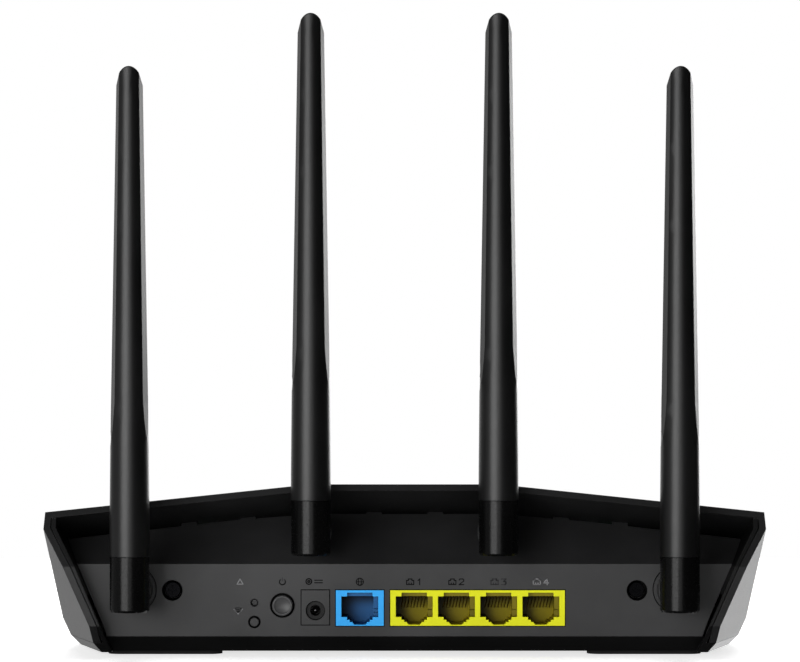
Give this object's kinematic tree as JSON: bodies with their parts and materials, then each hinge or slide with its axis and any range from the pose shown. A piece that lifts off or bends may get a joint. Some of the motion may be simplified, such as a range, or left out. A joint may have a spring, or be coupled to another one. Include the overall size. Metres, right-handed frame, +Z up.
{
  "type": "wireless router",
  "caption": "Wedge-shaped desktop wireless router with folding antennas, recessed port panel, coloured network sockets, power inlet and push buttons.",
  "frame": {"origin": "middle of the footprint on the table, measured over case and upright antennas", "axes": "+X to the right seen from the ports, +Y from the ports to the front edge, +Z up"},
  "size_m": [0.23, 0.144, 0.2047],
  "materials": {
    "roof_plastic": "fine spark texture, black",
    "base_plastic": "fine spark texture, black",
    "panel_plastic": "smooth satin black",
    "foot_rubber": "matt black",
    "label_film": "blank printed film",
    "black_screw": "black",
    "clear_guide": "clear moulded plastic",
    "board_green": "solder mask",
    "bright_screw": "bright plated steel",
    "heatsink_metal": "extruded",
    "chip_black": "moulded epoxy",
    "shield_tin": "tin plated",
    "capacitor_can": "sleeved can",
    "led_white": "moulded package",
    "gold_contact": "gold plated",
    "lead_jacket": "extruded jacket",
    "jack_black": "moulded",
    "jack_blue": "moulded blue",
    "jack_yellow": "moulded yellow",
    "button_plastic": "satin black",
    "hub_plastic": "black",
    "collar_gloss": "polished black",
    "radome_satin": "satin black",
    "element_copper": "bare copper"
  },
  "bodies": {
    "case": {"top_cover": "roof_plastic", "bottom_case": "base_plastic", "rear_panel": "panel_plastic", "rear_feet": "foot_rubber", "front_feet": "foot_rubber", "rating_plate": "label_film", "case_screws": "black_screw", "rear_screws": "black_screw", "light_guide": "clear_guide", "main_board": "board_green", "board_screws": "bright_screw", "cpu_heatsink": "heatsink_metal", "cpu_chip": "chip_black", "rf_shields": "shield_tin", "magnetics": "chip_black", "capacitors": "capacitor_can", "memory_chips": "chip_black", "status_leds": "led_white", "coax_sockets": "gold_contact", "coax_leads": "lead_jacket", "power_switch": "chip_black", "wps_switch": "chip_black", "reset_switch": "chip_black", "dc_jack": "jack_black", "dc_jack_pin": "bright_screw", "wan_jack": "jack_blue", "wan_contacts": "gold_contact", "lan_jack": "jack_yellow", "lan_contacts": "gold_contact"},
    "body_power_button": {"power_button": "button_plastic"},
    "body_wps_button": {"wps_button": "button_plastic"},
    "body_reset_button": {"reset_button": "button_plastic"},
    "swivel_outer_left": {"hub_outer_left": "hub_plastic", "hub_clip_outer_left": "bright_screw"},
    "aerial_outer_left": {"collar_outer_left": "collar_gloss", "pin_outer_left": "bright_screw", "radome_outer_left": "radome_satin", "element_outer_left": "element_copper"},
    "swivel_inner_left": {"hub_inner_left": "hub_plastic", "hub_clip_inner_left": "bright_screw"},
    "aerial_inner_left": {"collar_inner_left": "collar_gloss", "pin_inner_left": "bright_screw", "radome_inner_left": "radome_satin", "element_inner_left": "element_copper"},
    "swivel_inner_right": {"hub_inner_right": "hub_plastic", "hub_clip_inner_right": "bright_screw"},
    "aerial_inner_right": {"collar_inner_right": "collar_gloss", "pin_inner_right": "bright_screw", "radome_inner_right": "radome_satin", "element_inner_right": "element_copper"},
    "swivel_outer_right": {"hub_outer_right": "hub_plastic", "hub_clip_outer_right": "bright_screw"},
    "aerial_outer_right": {"collar_outer_right": "collar_gloss", "pin_outer_right": "bright_screw", "radome_outer_right": "radome_satin", "element_outer_right": "element_copper"}
  },
  "joints": [
    {"name": "swing_outer_left", "type": "hinge", "parent": "case", "child": "swivel_outer_left", "pos_m": [-0.08675, -0.06567, 0.0214], "axis": [0, 1, 0], "range_deg": [-90, 15]},
    {"name": "fold_outer_left", "type": "hinge", "parent": "swivel_outer_left", "child": "aerial_outer_left", "pos_m": [-0.08675, -0.06567, 0.0214], "axis": [1, 0, 0], "range_deg": [0, 90]},
    {"name": "swing_inner_left", "type": "hinge", "parent": "case", "child": "swivel_inner_left", "pos_m": [-0.0298, -0.05717, 0.0388], "axis": [0, 1, 0], "range_deg": [-15, 15]},
    {"name": "fold_inner_left", "type": "hinge", "parent": "swivel_inner_left", "child": "aerial_inner_left", "pos_m": [-0.0298, -0.05717, 0.0388], "axis": [1, 0, 0], "range_deg": [0, 90]},
    {"name": "swing_inner_right", "type": "hinge", "parent": "case", "child": "swivel_inner_right", "pos_m": [0.0298, -0.05717, 0.0388], "axis": [0, 1, 0], "range_deg": [-15, 15]},
    {"name": "fold_inner_right", "type": "hinge", "parent": "swivel_inner_right", "child": "aerial_inner_right", "pos_m": [0.0298, -0.05717, 0.0388], "axis": [1, 0, 0], "range_deg": [0, 90]},
    {"name": "swing_outer_right", "type": "hinge", "parent": "case", "child": "swivel_outer_right", "pos_m": [0.08675, -0.06567, 0.0214], "axis": [0, 1, 0], "range_deg": [-15, 90]},
    {"name": "fold_outer_right", "type": "hinge", "parent": "swivel_outer_right", "child": "aerial_outer_right", "pos_m": [0.08675, -0.06567, 0.0214], "axis": [1, 0, 0], "range_deg": [0, 90]},
    {"name": "press_power", "type": "slide", "parent": "case", "child": "body_power_button", "axis": [0, 1, 0], "range_m": [0, 0.0016], "stiffness_N_per_m": 700},
    {"name": "press_wps", "type": "slide", "parent": "case", "child": "body_wps_button", "axis": [0, 1, 0], "range_m": [0, 0.0008], "stiffness_N_per_m": 900},
    {"name": "press_reset", "type": "slide", "parent": "case", "child": "body_reset_button", "axis": [0, 1, 0], "range_m": [0, 0.0005], "stiffness_N_per_m": 900}
  ]
}
